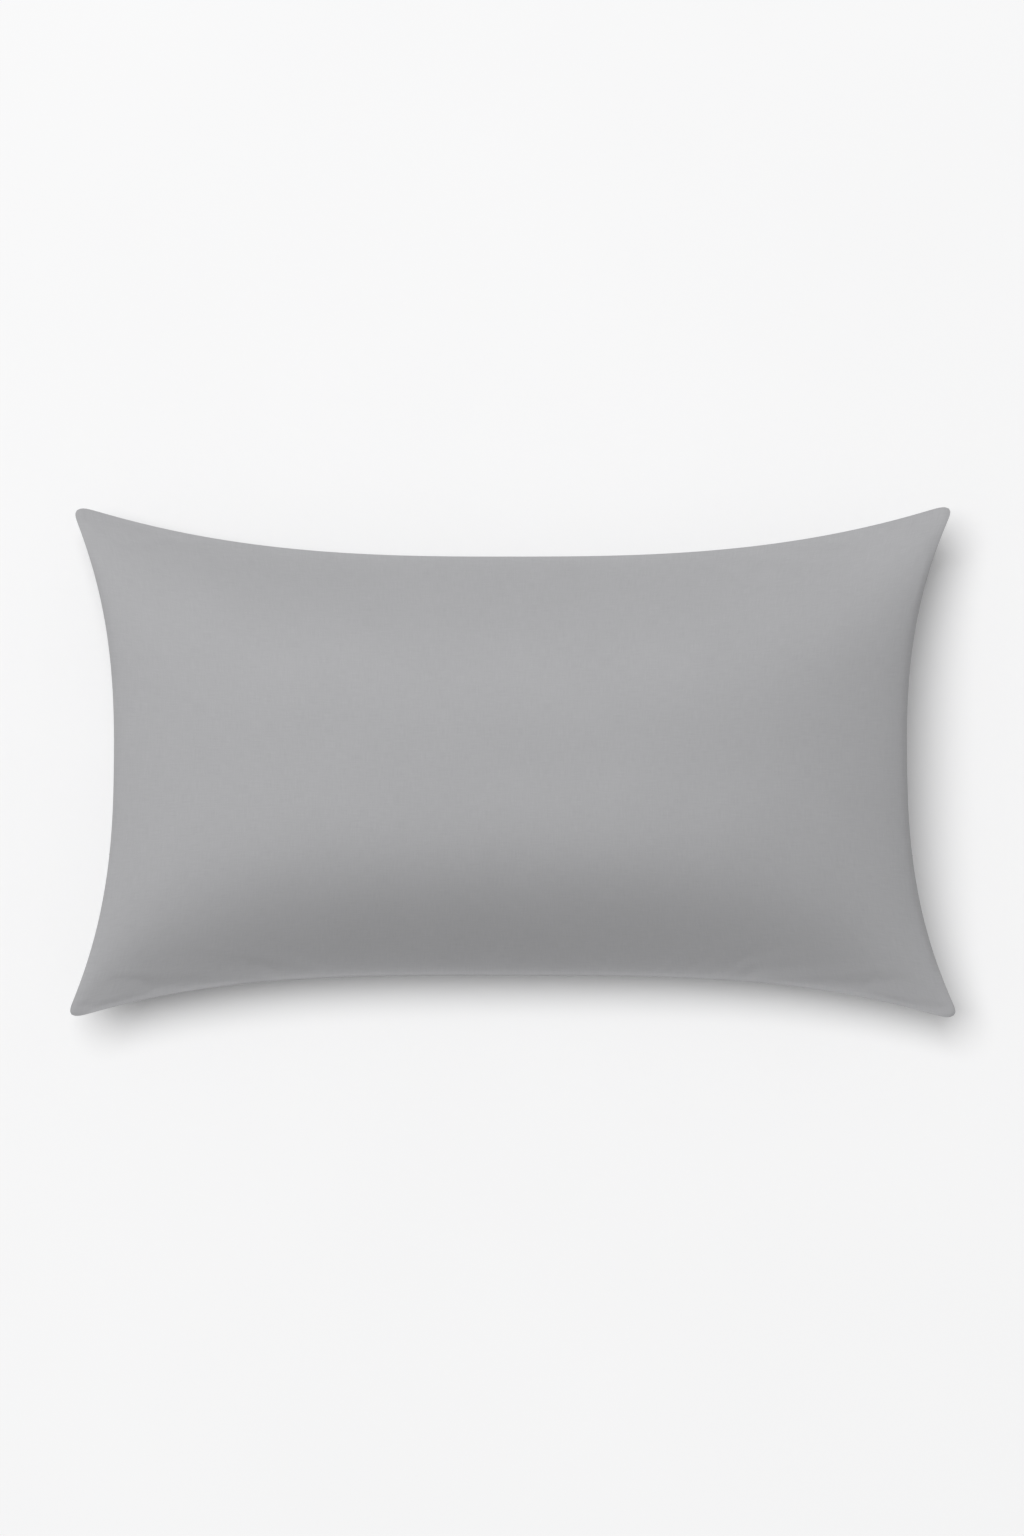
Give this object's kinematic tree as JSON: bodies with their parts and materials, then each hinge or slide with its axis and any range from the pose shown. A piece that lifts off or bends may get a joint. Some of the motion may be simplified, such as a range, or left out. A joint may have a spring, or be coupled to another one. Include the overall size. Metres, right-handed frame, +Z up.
{
  "type": "bed pillow",
  "caption": "Plump rectangular bed pillow in a smooth grey cotton cover, with a concealed zip on the underside and a piped inner pillow.",
  "frame": {"origin": "on the surface that the pillow lies on, under the middle of its outline", "axes": "+X along the pillow, towards the closed end of the zip; +Y across it, away from the zip; +Z up, towards the front of the cover"},
  "size_m": [0.876, 0.503, 0.1999],
  "materials": {
    "cover_cotton": "smooth grey plain-weave cotton, faintly satiny",
    "cover_thread": "grey overlocking and tacking thread",
    "ticking_cotton": "off-white closely woven cotton",
    "fibre": "white polyester fibre",
    "label_satin": "white satin ribbon, blank",
    "zip_tape": "grey woven tape",
    "zip_nylon": "grey nylon coil",
    "zip_metal": "satin nickel"
  },
  "bodies": {
    "pillow": {"case_front_panel": "cover_cotton", "case_back_panel": "cover_cotton", "case_zip_side_panel": "cover_cotton", "case_edge_seam": "cover_thread", "case_care_label": "label_satin", "zip_tape_far": "zip_tape", "zip_tape_near": "zip_tape", "zip_coil_far": "zip_nylon", "zip_coil_near": "zip_nylon", "zip_top_stop_far": "zip_metal", "zip_top_stop_near": "zip_metal", "zip_bottom_stop": "zip_metal", "zip_bartack_left": "cover_thread", "zip_bartack_right": "cover_thread", "insert_top_ticking": "ticking_cotton", "insert_bottom_ticking": "ticking_cotton", "insert_piping": "ticking_cotton", "insert_label": "label_satin", "fibre_fill": "fibre"},
    "slider": {"zip_slider": "zip_metal"},
    "pull": {"zip_pull": "zip_metal"}
  },
  "joints": [
    {"name": "zip_slide", "type": "slide", "parent": "pillow", "child": "slider", "axis": [-1, 0, 0], "range_m": [0, 0.472]},
    {"name": "pull_swing", "type": "hinge", "parent": "slider", "child": "pull", "pos_m": [0.236, -0.09, 0.0022], "axis": [0, -1, 0], "range_deg": [0, 170]}
  ]
}
